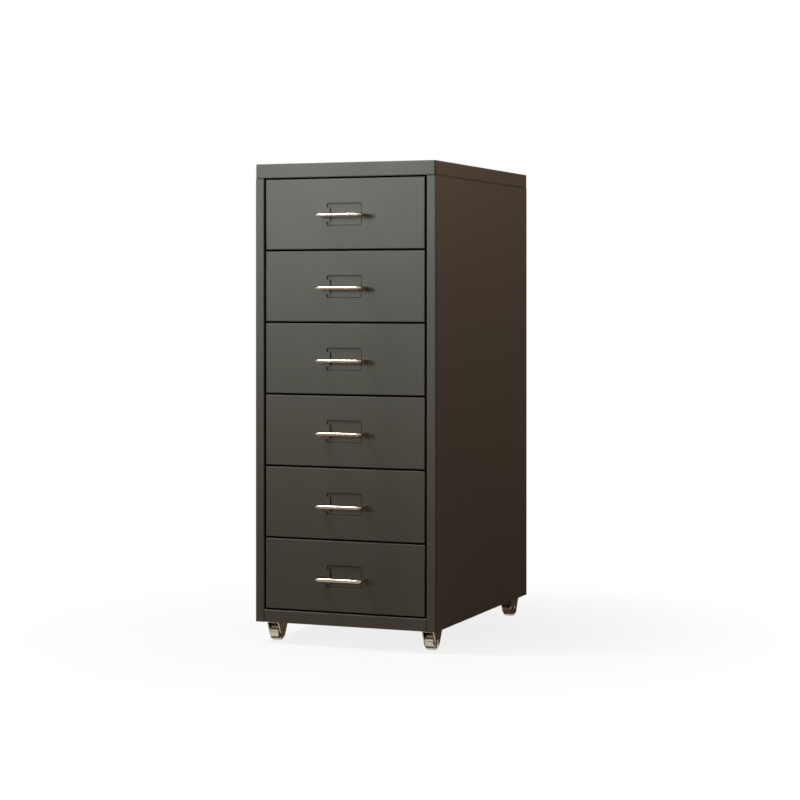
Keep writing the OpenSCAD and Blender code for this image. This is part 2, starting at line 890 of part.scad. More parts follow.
top_panel();
left_side_panel();
right_side_panel();
back_panel();
bottom_panel();
lid_nuts();
back_screws();
castor_plates();
castor_nuts();
castor_stems();
castor_balls();
for (i = [1 : drawer_count]) {
    mirror([1, 0, 0]) runner(i);
    runner(i);
    drawer_front(i);
    drawer_tray(i);
    drawer_handle(i);
    drawer_handle_nuts(i);
}
for (c = CASTORS) {
    castor_fork(c);
    castor_axle(c);
    castor_wheel(c);
}
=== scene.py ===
"""Looks of a small sheet-steel drawer cabinet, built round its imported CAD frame.

Metres, in the frame's axes: +X to the right of someone facing the drawers, -Y out of the
fronts, +Z up.
"""
import math
import bmesh  # noqa: E402
import bpy  # noqa: E402
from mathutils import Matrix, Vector  # noqa: E402
from mathutils.geometry import tessellate_polygon  # noqa: E402


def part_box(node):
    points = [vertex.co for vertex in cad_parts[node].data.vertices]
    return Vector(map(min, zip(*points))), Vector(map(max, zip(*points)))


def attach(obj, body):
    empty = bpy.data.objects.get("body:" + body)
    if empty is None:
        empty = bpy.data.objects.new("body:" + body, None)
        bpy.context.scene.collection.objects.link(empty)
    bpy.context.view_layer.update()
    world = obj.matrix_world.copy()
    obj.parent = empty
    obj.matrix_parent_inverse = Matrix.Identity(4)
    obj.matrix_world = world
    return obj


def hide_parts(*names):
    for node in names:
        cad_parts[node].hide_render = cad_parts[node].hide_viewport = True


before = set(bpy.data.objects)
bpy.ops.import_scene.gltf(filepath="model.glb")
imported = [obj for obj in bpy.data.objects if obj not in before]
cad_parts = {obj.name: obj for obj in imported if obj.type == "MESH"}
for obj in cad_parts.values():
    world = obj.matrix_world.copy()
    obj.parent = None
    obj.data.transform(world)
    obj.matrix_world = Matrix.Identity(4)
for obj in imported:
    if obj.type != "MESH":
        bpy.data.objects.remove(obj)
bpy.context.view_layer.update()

# ---- Sizes --------------------------------------------------------------------------------------
# Read from the frame where a node's box gives them; the rest are the construction's own sizes.

MM = 0.001

# Casing
LID_LOW, LID_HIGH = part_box("top_panel")
PAN_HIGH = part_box("bottom_panel")[1]
BACK_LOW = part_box("back_panel")[0]
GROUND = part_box("right_side_panel")[0].z  # lower edge of the body
FRONT_Y = LID_LOW.y                      # the front plane
REAR_Y = LID_HIGH.y
MID_Y = (FRONT_Y + REAR_Y) / 2
HALF_W = LID_HIGH.x
DEPTH = REAR_Y - FRONT_Y
LID_TOP = LID_HIGH.z
SHEET = 0.8 * MM
FOLD_R = 0.8 * MM                        # inside radius of a fold
SEAM = 0.5 * MM
POST_W = 13.8 * MM
POST_RETURN = 12 * MM
REAR_FLANGE = 15 * MM
TOP_FLANGE = 16 * MM
LID_SKIRT = 20.6 * MM
LID_CORNER = 3 * MM
LID_RIM = 1.6 * MM
LID_RETURN = 8 * MM
PAN_RETURN = 9 * MM
PAN_FLANGE = 12 * MM
LID_Z = LID_TOP - LID_SKIRT              # lower edge of the lid's skirt
JOINT_Z = LID_Z - SEAM                   # upper edge of the side panels' outer face
NUT_FLATS = 7 * MM
STUD_R = 2 * MM
STUD_PAST_NUT = 1 * MM
SCREW_R = 1.5 * MM
SCREW_HEAD_R = 3 * MM
SCREW_HEAD_H = 1.8 * MM
SCREW_FACE_R = 2 * MM                    # flat middle of the head
SCREW_FOOT = 0.98                        # radius of the head's foot, as a share of its own
SCREW_ROWS = 4
CROSS_ARM = 1.5 * MM
CROSS_HALF_W = 0.45 * MM
CROSS_FLOOR = 0.35                       # height of the recess's bottom, as a share of the head's

# Drawers
DRAWERS = range(1, 7)
SKIN = 0.7 * MM                          # the drawers' sheet
SHELL_D = 13 * MM
SHELL_EDGE = 1.3 * MM
SHELL_CORNER = 0.5 * MM
SHELL_LIP = 15 * MM
LABEL_W = 54.2 * MM
LABEL_H = 32.6 * MM
LABEL_CORNER = 3 * MM
LABEL_DEPTH = 1.2 * MM
LABEL_RIM = 0.25 * MM                    # rounding where the skin turns into the recess
LABEL_DROP = 0.6 * MM                    # how far the recess sits under the front's middle
# The stamped wall and the groove along its foot, as (mm in from the outline, mm deep)
LABEL_WALL = [(0.12, 1.2), (0.18, 1.6), (0.35, 1.75), (0.75, 1.75), (0.95, 1.6), (1.1, 1.3),
              (1.25, 1.2)]
LIP_REACH = 4.9 * MM
LIP_H = 20.5 * MM
LIP_TILT = math.radians(4)
LIP_EDGE = 0.15 * MM
LIP_SLOT = 1.1 * MM                      # window left beside the lip's free edge
LIP_ROOT_GAP = 0.05 * MM
HANDLE_LOW, HANDLE_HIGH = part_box("drawer_1_handle")
HANDLE_D = 5 * MM
HANDLE_SPAN = HANDLE_HIGH.x - HANDLE_LOW.x - HANDLE_D
HANDLE_REACH = FRONT_Y - HANDLE_LOW.y
HANDLE_BEND = 6 * MM
HANDLE_THREAD_R = 2 * MM
HANDLE_THREAD_LEN = 4.9 * MM

# Castors, with the side in Y on which each one's wheel trails
CASTORS = {"front_left": -1, "front_right": -1, "rear_left": 1, "rear_right": 1}
WHEEL_D = 25 * MM
WHEEL_W = 14 * MM
TREAD_EDGE = 1.8 * MM
RIM_T = 2.4 * MM                         # from the tread in to the recessed side
RIM_SLOPE, RIM_RISE = 0.4 * MM, 0.3 * MM  # chamfer where the recess meets the rim
WHEEL_RECESS = 1.5 * MM
HUB_PROUD = 0.5 * MM
HUB_CHAMFER = 0.2 * MM
HUB_SLOPE = 0.4 * MM
BORE_GAP = 0.05 * MM
TRAIL = 6 * MM
FORK_T = 1.5 * MM
FORK_BEND = 1 * MM
FORK_TIP = 8 * MM                        # radius of a cheek's round end about the axle
FORK_TIP_START = 0.01 * MM               # the lowest row lies this far over the tip
FORK_EDGE = 0.22 * MM
CROWN_FORE = 16 * MM
CROWN_AFT = 17 * MM
CROWN_Z = 27 * MM
CROWN_TOP = CROWN_Z + FORK_T
CHEEK_IN = 7.9 * MM                      # inside face of a cheek, from the wheel's middle
AXLE_D = 4 * MM
AXLE_HEAD_D = 7 * MM
AXLE_HEAD_H = 1.2 * MM
OVERLAP = 0.05 * MM                      # how far solids of one turned piece run into each other
# The swivel bearing's lower race, as (radius, height over the crown)
RACE = [(r * MM, h * MM) for r, h in ((0, 0), (9.3, 0), (9.3, 1.6), (9.1, 1.8), (8.7, 1.8),
                                      (7.4, 1.2), (6.1, 1.8), (4.8, 1.8), (4.8, 0.1), (0, 0.1))]
CAP_LOW = CROWN_TOP + 0.5 * MM
CAP_RACE_Z = CROWN_TOP + 3.2 * MM        # underside of the race cap's disc
CAP_TOP = CROWN_TOP + 6.3 * MM
CAP_IN_R = 10 * MM
CAP_R = 10.9 * MM
CAP_CHAMFER = 0.2 * MM
CAP_BEVEL, CAP_SOFT = 1.2 * MM, 0.4 * MM  # rounding of its upper edge, and the middle of that
HEX_FLATS = 14 * MM
HEX_TOP = CAP_TOP + 4.7 * MM
HEX_ENDS = 0.93                          # radius of the hexagon's ends, as a share of its own
HEX_CHAMFER = 0.5 * MM
SHOULDER_R = 6 * MM
SHOULDER_CHAMFER = 0.3 * MM
STEM_R = 4 * MM
STEM_PITCH = 1.25 * MM
KINGPIN_R = 3 * MM
KINGPIN_HEAD_R = 5 * MM
# The head's rounded foot, as (in from its radius, up from its foot)
KINGPIN_ROUND = [(1.4 * MM, 0), (0.3 * MM, 0.4 * MM), (0, 1 * MM)]

# ---- Materials ----------------------------------------------------------------------------------

PAINT_RGB = (0.095, 0.092, 0.081)
TRAY_RGB = (0.085, 0.082, 0.072)
PAINTED_SHADE_TONE = 0.25                         # painted shade: the tone that seams, folds, returns and grooves take, where shade falls in the gaps
FOLD_SHARE = 0.65                        # how far the painted shade line along a post's fold goes to that tone

# The stretches over which the painted shade fades, in from the plane or edge that each belongs to
BEHIND_FRONT = (1.25 * MM, 1.5 * MM)
FOLD_IN = (0.5 * MM, 0.2 * MM)
FOLD_BACK = (3.4 * MM, 4.8 * MM)
UNDER_SEAM = (1.4 * MM, 1.2 * MM)
OVER_SEAM = (1.1 * MM, 1.3 * MM)

# The powder coat's patterns: scales in grains per metre, and how far they go
TONE_GRAINS, TONE_RANGE = 9, (0.985, 1.015)
GLOSS_GRAINS, GLOSS_RANGE = 14, (-0.015, 0.02)
POWDER_GRAINS, POWDER_DIP = 1900, 0.97
PEEL_GRAINS, PEEL_STRENGTH, PEEL_DEPTH = 620, 0.22, 0.04 * MM
PIT_GRAINS, PIT_STRENGTH, PIT_DEPTH = 2400, 0.16, 0.02 * MM

# The plated metals' clouding and polishing marks
CLOUD_GRAINS = 55
MARK_STRENGTH, MARK_DEPTH = 0.35, 0.01 * MM
ROUGH_RANGE = (0.75, 1.3)


class Material:
    """A node material with one Principled shader, and short calls to wire it."""

    def __init__(self, name, **sockets):
        self.made = bpy.data.materials.new(name)
        self.made.use_nodes = True
        self.tree = self.made.node_tree
        self.shader = self.tree.nodes["Principled BSDF"]
        for key, value in sockets.items():
            self.shader.inputs[key.replace("_", " ")].default_value = value
        self.place = self.node("ShaderNodeTexCoord").outputs["Object"]

    def feed(self, socket, value):
        """Gives a socket a plain value, or links it to another node's output."""
        if isinstance(value, bpy.types.NodeSocket):
            self.tree.links.new(value, socket)
        else:
            socket.default_value = value

    def node(self, kind, inputs=(), **settings):
        """Adds a node, with its own settings, and feeds its inputs."""
        made = self.tree.nodes.new(kind)
        for key, value in settings.items():
            setattr(made, key, value)
        for key, value in dict(inputs).items():
            self.feed(made.inputs[key], value)
        return made

    def noise(self, scale, detail=2.0, stretch=(1, 1, 1)):
        """Noise between 0 and 1; scale counts its grains per metre."""
        mapped = self.node("ShaderNodeMapping", {"Vector": self.place, "Scale": stretch})
        return self.node("ShaderNodeTexNoise", {"Vector": mapped.outputs[0], "Scale": scale,
                                                "Detail": detail}).outputs["Fac"]

    def spread(self, value, low, high, start=0.3, end=0.7):
        """Runs from low to high, and holds at both, as value runs from start to end."""
        return self.node("ShaderNodeMapRange", {"Value": value, "From Min": start, "From Max": end,
                                                "To Min": low, "To Max": high}).outputs[0]

    def mix(self, share, a, b, blend="MIX"):
        """A colour between a and b."""
        made = self.node("ShaderNodeMix", data_type="RGBA", blend_type=blend)
        for key, value in (("Factor", share), ("A", a), ("B", b)):
            self.feed([s for s in made.inputs if s.name == key and s.enabled][0], value)
        return [s for s in made.outputs if s.enabled][0]

    def maths(self, operation, a, b=0.0):
        return self.node("ShaderNodeMath", {0: a, 1: b}, operation=operation).outputs[0]

    def axis(self, name):
        """One of the surface's own coordinates, in metres."""
        return self.node("ShaderNodeSeparateXYZ", {"Vector": self.place}).outputs[name]

    def across(self):
        """Distance from the cabinet's middle, to either side."""
        return self.maths("ABSOLUTE", self.axis("X"))

    def bump(self, height, strength, distance, under=None):
        inputs = {"Height": height, "Strength": strength, "Distance": distance}
        if under is not None:
            inputs["Normal"] = under
        return self.node("ShaderNodeBump", inputs).outputs[0]

    def set(self, key, value):
        """Feeds one of the Principled shader's own inputs."""
        self.feed(self.shader.inputs[key], value)

    def show(self, shader):
        """Shows another shader in place of the Principled one, and never as a lamp."""
        self.tree.links.new(shader, self.tree.nodes["Material Output"].inputs["Surface"])
        self.made.cycles.emission_sampling = "NONE"


def shade(rgb, k):
    """A colour times k, as a socket takes it."""
    return tuple(min(1.0, c * k) for c in rgb) + (1.0,)


def behind_front(m):
    """1 on what is folded in behind the front plane, such as the returns, grooves and slots, which
    take painted shade.
    """
    return m.spread(m.axis("Y"), 0, 1, *(FRONT_Y + d for d in BEHIND_FRONT))


def post_return(m):
    """1 on the inner returns of the front posts, which take painted shade."""
    inner = m.spread(m.across(), 1, 0, HALF_W - POST_W + SHEET, HALF_W - POST_W + 1.5 * SHEET)
    near = m.spread(m.axis("Y"), 1, 0, FRONT_Y + POST_RETURN, FRONT_Y + POST_RETURN + MM)
    return m.maths("MULTIPLY", m.maths("MULTIPLY", inner, near), behind_front(m))


def post_edges(m):
    """Painted shade on the posts: their inner returns, the line along the fold into the side, and
    the edge by the lid.
    """
    outer = m.spread(m.across(), 0, FOLD_SHARE, *(HALF_W - d for d in FOLD_IN))
    near = m.spread(m.axis("Y"), 1, 0, *(FRONT_Y + d for d in FOLD_BACK))
    edge = m.spread(m.axis("Z"), 0, 1, *(JOINT_Z - d for d in UNDER_SEAM))
    fold = m.maths("MULTIPLY", outer, near)
    return m.maths("MAXIMUM", m.maths("MAXIMUM", post_return(m), fold), edge)


def lid_edge(m):
    """1 on the lower edge of the lid's skirt, where painted shade darkens the seam."""
    return m.spread(m.axis("Z"), 1, 0, *(LID_Z + d for d in OVER_SEAM))


def powder_coat(name, rgb, gloss=0.42, shade_mask=None):
    """Semi-gloss powder coat with orange peel and fine grains, and painted shade where its mask
    gives 1.

    Its tone and gloss change slowly over the surface.
    """
    m = Material(name, Specular_IOR_Level=0.25)
    tone = m.mix(m.spread(m.noise(TONE_GRAINS, 3), 0, 1), *(shade(rgb, k) for k in TONE_RANGE))
    # painted shade: the masked seams, folds, returns and grooves take a darker copy of the paint
    if shade_mask:
        tone = m.mix(shade_mask(m), tone, shade(rgb, PAINTED_SHADE_TONE))
    powder = m.spread(m.noise(POWDER_GRAINS, 1), 0, 1)
    grains = m.mix(powder, shade((1, 1, 1), POWDER_DIP), shade((1, 1, 1), 1))
    m.set("Base Color", m.mix(1.0, tone, grains, "MULTIPLY"))
    m.set("Roughness", m.spread(m.noise(GLOSS_GRAINS, 3), *(gloss + d for d in GLOSS_RANGE)))
    peel = m.bump(m.noise(PEEL_GRAINS, 1), PEEL_STRENGTH, PEEL_DEPTH)
    m.set("Normal", m.bump(m.noise(PIT_GRAINS, 1), PIT_STRENGTH, PIT_DEPTH, peel))
    return m.made


def plated(name, rgb, rough, grain=(1, 1, 1), grain_scale=900, cloud=0.05):
    """Plated metal: faint clouding, and polishing marks drawn out along one axis."""
    m = Material(name, Metallic=1.0)
    clouds = m.spread(m.noise(CLOUD_GRAINS, 3), 0, 1)
    m.set("Base Color", m.mix(clouds, shade(rgb, 1 - cloud), shade(rgb, 1 + cloud)))
    marks = m.noise(grain_scale, 2, grain)
    m.set("Roughness", m.spread(marks, *(rough * k for k in ROUGH_RANGE)))
    m.set("Normal", m.bump(marks, MARK_STRENGTH, MARK_DEPTH))
    return m.made


PAINT = powder_coat("casing_powder_coat", PAINT_RGB)
# painted shade darkens the lower edge of the lid's skirt, along the seam
LID_PAINT = powder_coat("lid_powder_coat", PAINT_RGB, shade_mask=lid_edge)
# painted shade darkens the posts' inner returns, the line along their fold and the edge under the
# lid's seam
POST_PAINT = powder_coat("post_powder_coat", PAINT_RGB, shade_mask=post_edges)
# painted shade darkens the fronts' returns, the label recess's groove and the lip's slot
DRAWER_PAINT = powder_coat("drawer_powder_coat", PAINT_RGB, shade_mask=behind_front)
INSIDE_PAINT = powder_coat("tray_powder_coat", TRAY_RGB, 0.48)
ZINC = plated("bright_zinc", (0.62, 0.62, 0.60), 0.30, cloud=0.12)
RUNNER_ZINC = plated("runner_zinc", (0.60, 0.60, 0.58), 0.34, grain=(1, 0.05, 1), cloud=0.10)
NICKEL = plated("handle_nickel", (0.62, 0.54, 0.44), 0.15, grain=(0.06, 1, 1), grain_scale=2600)
CHROME = plated("castor_chrome", (0.46, 0.40, 0.32), 0.18)
TURNED = plated("wheel_steel", (0.52, 0.47, 0.40), 0.24, grain=(1, 0.15, 0.15), grain_scale=1500)

# ---- Shapes -------------------------------------------------------------------------------------

SHARP = math.radians(32)                 # edges that turn more than this stay sharp
BEVELLED = math.radians(40)              # and past this are rounded, where a piece asks for it
WELD = 0.002 * MM                        # points closer than this are one
POINT_R = 1e-6                           # radius that stands for a point or a sharp corner
THREAD_PITCH = 0.7 * MM
THREAD_START, THREAD_ROOT, THREAD_END = 0.82, 0.86, 0.8  # radii, as shares of the thread's own


def lerp(a, b, s):
    return a + (b - a) * s


def quarter(steps):
    """Angles from 0 to a right angle."""
    return [math.pi / 2 * k / steps for k in range(steps + 1)]


def folded(path, t, r_in=FOLD_R, steps=6):
    """Both faces of a folded sheet's section along a centreline with square corners."""
    points = [Vector(p) for p in path]
    near, far = [], []
    for i, p in enumerate(points):
        come = (p - points[i - 1]).normalized() if i else None
        go = (points[i + 1] - p).normalized() if i + 1 < len(points) else None
        if come is None or go is None:
            along = come or go
            out = Vector((-along.y, along.x)) * t / 2
            near.append(p + out)
            far.append(p - out)
            continue
        r = r_in + t / 2
        turn = math.copysign(t / 2, come.cross(go))
        centre = p + (go - come) * r
        for a in quarter(steps):
            out = come * math.sin(a) - go * math.cos(a)
            near.append(centre + out * (r - turn))
            far.append(centre + out * (r + turn))
    return near, far


def ring(w, h, r, steps=6):
    """A rectangle with rounded corners about the origin, as points in order."""
    r = max(r, POINT_R)
    made = []
    for corner, (sx, sy) in enumerate(((1, 1), (-1, 1), (-1, -1), (1, -1))):
        for k in range(steps + 1):
            a = math.pi / 2 * (corner + k / steps)
            made.append((sx * (w / 2 - r) + r * math.cos(a), sy * (h / 2 - r) + r * math.sin(a)))
    return made


def circle(r, n=48):
    angles = [2 * math.pi * k / n for k in range(n)]
    return [(r * math.cos(a), r * math.sin(a)) for a in angles]


def upright(a, b, h):
    """A point turned about an upright axis, which leaves it as it is drawn."""
    return a, b, h


class Shape:
    """The faces of one piece, gathered from simple operations."""

    def __init__(self, place=upright):
        self.place = place
        self.verts, self.faces = [], []

    def add(self, points, faces):
        base = len(self.verts)
        self.verts += [self.place(*p) for p in points]
        self.faces += [tuple(base + i for i in f) for f in faces]

    def loft(self, rings, first=True, last=True):
        """Skins rings of equal length; first and last say which ends get a cap."""
        n = len(rings[0])
        faces = []
        for k in range(len(rings) - 1):
            for i in range(n):
                j = (i + 1) % n
                faces.append((k * n + i, k * n + j, (k + 1) * n + j, (k + 1) * n + i))
        if first:
            faces.append(tuple(range(n)))
        if last:
            faces.append(tuple((len(rings) - 1) * n + i for i in range(n)))
        self.add([p for r in rings for p in r], faces)

    def sheet(self, section, start, end, turn):
        """A folded section run from start to end; turn(u, v, along) gives the point."""
        near, far = section
        n = len(near)
        points = [turn(p.x, p.y, s) for s in (start, end) for p in near + far]
        faces = []
        for i in range(n - 1):
            faces.append((i, i + 1, i + 1 + 2 * n, i + 2 * n))
            faces.append((n + i, n + i + 1, 3 * n + i + 1, 3 * n + i))
            faces += [(e + i, e + n + i, e + n + i + 1, e + i + 1) for e in (0, 2 * n)]
        faces += [(i, i + 2 * n, i + 3 * n, i + n) for i in (0, n - 1)]
        self.add(points, faces)

    def slab(self, low, high):
        (x0, y0, z0), (x1, y1, z1) = low, high
        self.loft([[(x0, y0, z), (x1, y0, z), (x1, y1, z), (x0, y1, z)] for z in (z0, z1)])

    def lathe(self, profile, turn=upright, n=48):
        """A profile of (radius, height) turned about an axis; turn(a, b, h) gives the point."""
        self.loft([[turn(a, b, h) for a, b in circle(max(r, POINT_R), n)] for r, h in profile])

    def fill(self, outline, holes, turn):
        """A flat face with holes; outlines are 2D points, and turn(u, v) gives the point."""
        loops = [outline] + holes
        triangles = tessellate_polygon([[Vector((u, v, 0)) for u, v in loop] for loop in loops])
        self.add([turn(u, v) for loop in loops for u, v in loop], triangles)

    def piece(self, name, body, material, replaces, bevel=0.0):
        """Makes the Blender object, which rides on its body and stands for its CAD nodes."""
        mesh = bpy.data.meshes.new(name)
        mesh.from_pydata(self.verts, [], self.faces)
        weld(mesh)
        mesh.polygons.foreach_set("use_smooth", [True] * len(mesh.polygons))
        mesh.set_sharp_from_angle(angle=SHARP)
        mesh.materials.append(material)
        made = bpy.data.objects.new(name, mesh)
        bpy.context.scene.collection.objects.link(made)
        if bevel:
            rounding = made.modifiers.new("rounding", "BEVEL")
            rounding.width, rounding.segments, rounding.angle_limit = bevel, 2, BEVELLED
            rounding.harden_normals = True
        else:
            made.modifiers.new("flat_faces", "WEIGHTED_NORMAL").keep_sharp = True
        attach(made, body)
        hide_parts(*replaces)


def weld(mesh):
    """Joins points that coincide, and turns all faces outwards."""
    b = bmesh.new()
    b.from_mesh(mesh)
    bmesh.ops.remove_doubles(b, verts=b.verts, dist=WELD)
    bmesh.ops.recalc_face_normals(b, faces=b.faces)
    b.to_mesh(mesh)
    b.free()


def thread(r, start, end, pitch=THREAD_PITCH):
    """The ridged profile of a thread, as (radius, height) from start to end."""
    step = pitch if end > start else -pitch
    made = [(0, start), (r * THREAD_START, start)]
    for k in range(int(abs(end - start) / pitch)):
        made += [(r, start + step * (k + 0.3)), (r, start + step * (k + 0.45)),
                 (r * THREAD_ROOT, start + step * (k + 0.95))]
    return made + [(r * THREAD_END, end), (0, end)]


# ---- Casing -------------------------------------------------------------------------------------


def lid():
    """The lid pan with its rounded rim, the return behind its front skirt, and four studs."""
    shape = Shape(lambda x, y, z: (x, MID_Y + y, z))

    def rings(inset, corner, rim, top):
        made = []
        for a in quarter(8):
            turned = rim * (1 - math.cos(a))
            shrink = inset + turned
            z = top - rim + rim * math.sin(a)
            outline = ring(2 * (HALF_W - shrink), DEPTH - 2 * shrink, corner - turned)
            made.append([(x, y, z) for x, y in outline])
        return made

    outer = rings(0, LID_CORNER, LID_RIM, LID_TOP)
    inner = rings(SHEET, LID_CORNER - SHEET, LID_RIM - SHEET, LID_TOP - SHEET)
    foot = [[(x, y, LID_Z) for x, y, z in r] for r in (inner[0], outer[0])]
    shape.loft(inner[::-1] + foot + outer)
    shape.slab((-HALF_W + LID_CORNER, SHEET - DEPTH / 2, LID_Z),
               (HALF_W - LID_CORNER, LID_RETURN - DEPTH / 2, LID_Z + SHEET))
    nuts_low, nuts_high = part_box("lid_nuts")
    stud = thread(STUD_R, LID_TOP - SHEET, nuts_low.z - STUD_PAST_NUT)
    for sx in (-1, 1):
        stud_x = sx * (nuts_high.x - NUT_FLATS / 2 / math.cos(math.pi / 6))
        for y in (nuts_low.y + NUT_FLATS / 2, nuts_high.y - NUT_FLATS / 2):
            shape.lathe(stud, lambda a, b, h: (stud_x + a, y - MID_Y + b, h), n=20)
    shape.piece("lid", "casing", LID_PAINT, ["top_panel"])


def side_panel(name, sx):
    """Post, wall and rear flange in one sheet, stepped in under the lid."""
    shape = Shape(lambda x, y, z: (sx * x, FRONT_Y + y, z))
    wall = HALF_W - SHEET / 2
    post = HALF_W - POST_W + SHEET / 2
    step = HALF_W - SHEET - SEAM - SHEET / 2
    flange = LID_TOP - 1.5 * SHEET
    outline = [(HALF_W - REAR_FLANGE, DEPTH - SHEET / 2), (wall, DEPTH - SHEET / 2),
               (wall, SHEET / 2), (post, SHEET / 2), (post, POST_RETURN)]
    shape.sheet(folded(outline, SHEET), GROUND, JOINT_Z, lambda u, v, z: (u, v, z))
    shape.slab((step - SHEET / 2, LID_CORNER, JOINT_Z - SHEET), (wall, DEPTH - LID_CORNER, JOINT_Z))
    upper = [(step, JOINT_Z - SHEET), (step, flange), (step + SHEET / 2 - TOP_FLANGE, flange)]
    shape.sheet(folded(upper, SHEET), LID_CORNER, DEPTH - LID_CORNER, lambda u, v, y: (u, y, v))
    shape.piece(name, "casing", POST_PAINT, [name + "_panel"])


def base_pan():
    """The pan whose folded front edge is the rail, with wings over the side panels' width."""
    shape = Shape(lambda x, y, z: (x, FRONT_Y + y, z))
    mid = PAN_HIGH.z - SHEET / 2
    back = BACK_LOW.y - FRONT_Y - SHEET / 2
    rail_x = HALF_W - POST_W - SEAM
    wing_x = PAN_HIGH.x - SHEET / 2
    foot = GROUND + SHEET / 2
    rail = [(back, mid - PAN_FLANGE), (back, mid), (SHEET / 2, mid), (SHEET / 2, foot),
            (PAN_RETURN, foot)]
    shape.sheet(folded(rail, SHEET), -rail_x, rail_x, lambda u, v, x: (x, u, v))
    wing = [(rail_x, mid), (wing_x, mid), (wing_x, mid - PAN_FLANGE)]
    for sx in (-1, 1):
        shape.sheet(folded(wing, SHEET), POST_RETURN + SEAM, back - 1.5 * SHEET,
                    lambda u, v, y: (sx * u, y, v))
        tab = sorted((sx * (rail_x - SHEET), sx * rail_x))
        shape.slab((tab[0], SHEET * 0.9, foot), (tab[1], PAN_RETURN, mid))  # starts in the rail
    shape.piece("base_pan", "casing", PAINT, ["bottom_panel"])


def back_screws():
    """Pan-head screws with a cross recess, up both rear flanges."""
    low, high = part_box("back_screws")
    arm, half = CROSS_ARM, CROSS_HALF_W
    cross = []
    for c, s in ((1, 0), (0, 1), (-1, 0), (0, -1)):
        # a quarter of the cross, turned by a right angle each time
        cross += [(c * x - s * y, s * x + c * y)
                  for x, y in ((arm, half), (half, half), (half, arm))]
    head = [(SCREW_HEAD_R * SCREW_FOOT, 0)]
    head += [(lerp(SCREW_FACE_R, SCREW_HEAD_R, math.cos(a)), SCREW_HEAD_H * math.sin(a))
             for a in quarter(6)]
    shape = Shape()
    for sx in (-1, 1):
        for i in range(SCREW_ROWS):
            x = sx * (high.x - SCREW_HEAD_R)
            z = lerp(low.z + SCREW_HEAD_R, high.z - SCREW_HEAD_R, i / (SCREW_ROWS - 1))

            def turn(a, b, h):
                return x + a, REAR_Y + h, z + b

            shape.loft([[turn(a, b, h) for a, b in circle(r, 36)] for r, h in head], last=False)
            shape.fill(circle(SCREW_FACE_R, 36), [cross], lambda u, v: turn(u, v, SCREW_HEAD_H))
            shape.loft([[turn(a, b, h) for a, b in cross]
                        for h in (SCREW_HEAD_H, SCREW_HEAD_H * CROSS_FLOOR)], first=False)
            shape.lathe(thread(SCREW_R, 0, low.y - REAR_Y), turn, n=20)
    shape.piece("back_panel_screws", "casing", ZINC, ["back_screws"])


# ---- Drawers ------------------------------------------------------------------------------------


def label_outline(grow):
    """The label recess's outline, larger by grow on each side."""
    return ring(LABEL_W + 2 * grow, LABEL_H + 2 * grow, LABEL_CORNER + grow, 8)


def flat(points):
    """Points on a front, without their depth."""
    return [(x, z) for x, y, z in points]


def drawer_front(i):
    """A sheet pan with rolled edges, a stamped label recess, and a lip lanced out of its floor."""
    low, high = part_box(f"drawer_{i}_front")
    w, h = high.x - low.x, high.z - low.z
    shape = Shape(lambda x, y, z: (x, FRONT_Y + y, (low.z + high.z) / 2 + z))

    def shell(inset, edge, depth_at):
        made = []
        for a in quarter(8):
            turned = edge * (1 - math.cos(a))
            shrink = inset + turned
            outline = ring(w - 2 * shrink, h - 2 * shrink, SHELL_CORNER - turned, 3)
            made.append([(x, depth_at + edge * (1 - math.sin(a)), z) for x, z in outline])
        return made

    outer = shell(0, SHELL_EDGE, 0)
    inner = shell(SKIN, SHELL_EDGE - SKIN, SKIN)
    back = [[(x, SHELL_D, z) for x, z in flat(r)] for r in (inner[0], outer[0])]
    shape.loft(inner[::-1] + back + outer, first=False, last=False)

    # The face, and the recess: a rounded rim, steep walls, a groove at their foot and a flat bed
    def at(outline, depth):
        return [(x, depth, z - LABEL_DROP) for x, z in outline]

    rim = [at(label_outline(LABEL_RIM * (1 - math.sin(a))), LABEL_RIM * (1 - math.cos(a)))
           for a in quarter(4)]
    wall = [at(label_outline(-inset * MM), depth * MM) for inset, depth in LABEL_WALL]
    shape.loft(rim + wall, first=False, last=False)
    shape.fill(flat(outer[-1]), [flat(rim[0])], lambda u, v: (u, 0, v))
    left = -LABEL_W / 2
    slot_x0 = left + LABEL_WALL[-1][0] * MM + LIP_ROOT_GAP
    slot_x1 = left + LIP_REACH + LIP_SLOT
    slot_z0, slot_z1 = -LABEL_DROP - LIP_H / 2, -LABEL_DROP + LIP_H / 2
    slot = [(slot_x0, slot_z0), (slot_x1, slot_z0), (slot_x1, slot_z1), (slot_x0, slot_z1)]
    shape.fill(flat(wall[-1]), [slot], lambda u, v: (u, LABEL_DEPTH, v))
    shape.loft([[(x, y, z) for x, z in slot] for y in (LABEL_DEPTH, LABEL_DEPTH + SKIN)],
               first=False, last=False)
    shape.fill(flat(inner[-1]), [flat(rim[0])], lambda u, v: (u, SKIN, v))

    # The lip, tilted out a little at its free edge
    lip_w = LIP_REACH + SKIN
    lip = []
    for x, y in ring(lip_w, SKIN, LIP_EDGE, 3):
        u, v = x + lip_w / 2 - SKIN, y + SKIN / 2
        lip.append((left + u * math.cos(LIP_TILT) + v * math.sin(LIP_TILT),
                    v * math.cos(LIP_TILT) - u * math.sin(LIP_TILT)))
    shape.loft([[(x, y, z) for x, y in lip] for z in (slot_z0, slot_z1)])

    # The returns behind the upper and lower edge
    for z0, z1 in ((-h / 2, SHELL_LIP - h / 2), (h / 2 - SHELL_LIP, h / 2)):
        shape.slab((SKIN / 2 - w / 2, SHELL_D - SKIN, z0 + SKIN / 2),
                   (w / 2 - SKIN / 2, SHELL_D, z1 - SKIN / 2))
    shape.piece(f"drawer_{i}_face", f"drawer_{i}", DRAWER_PAINT,
                [f"drawer_{i}_front"])


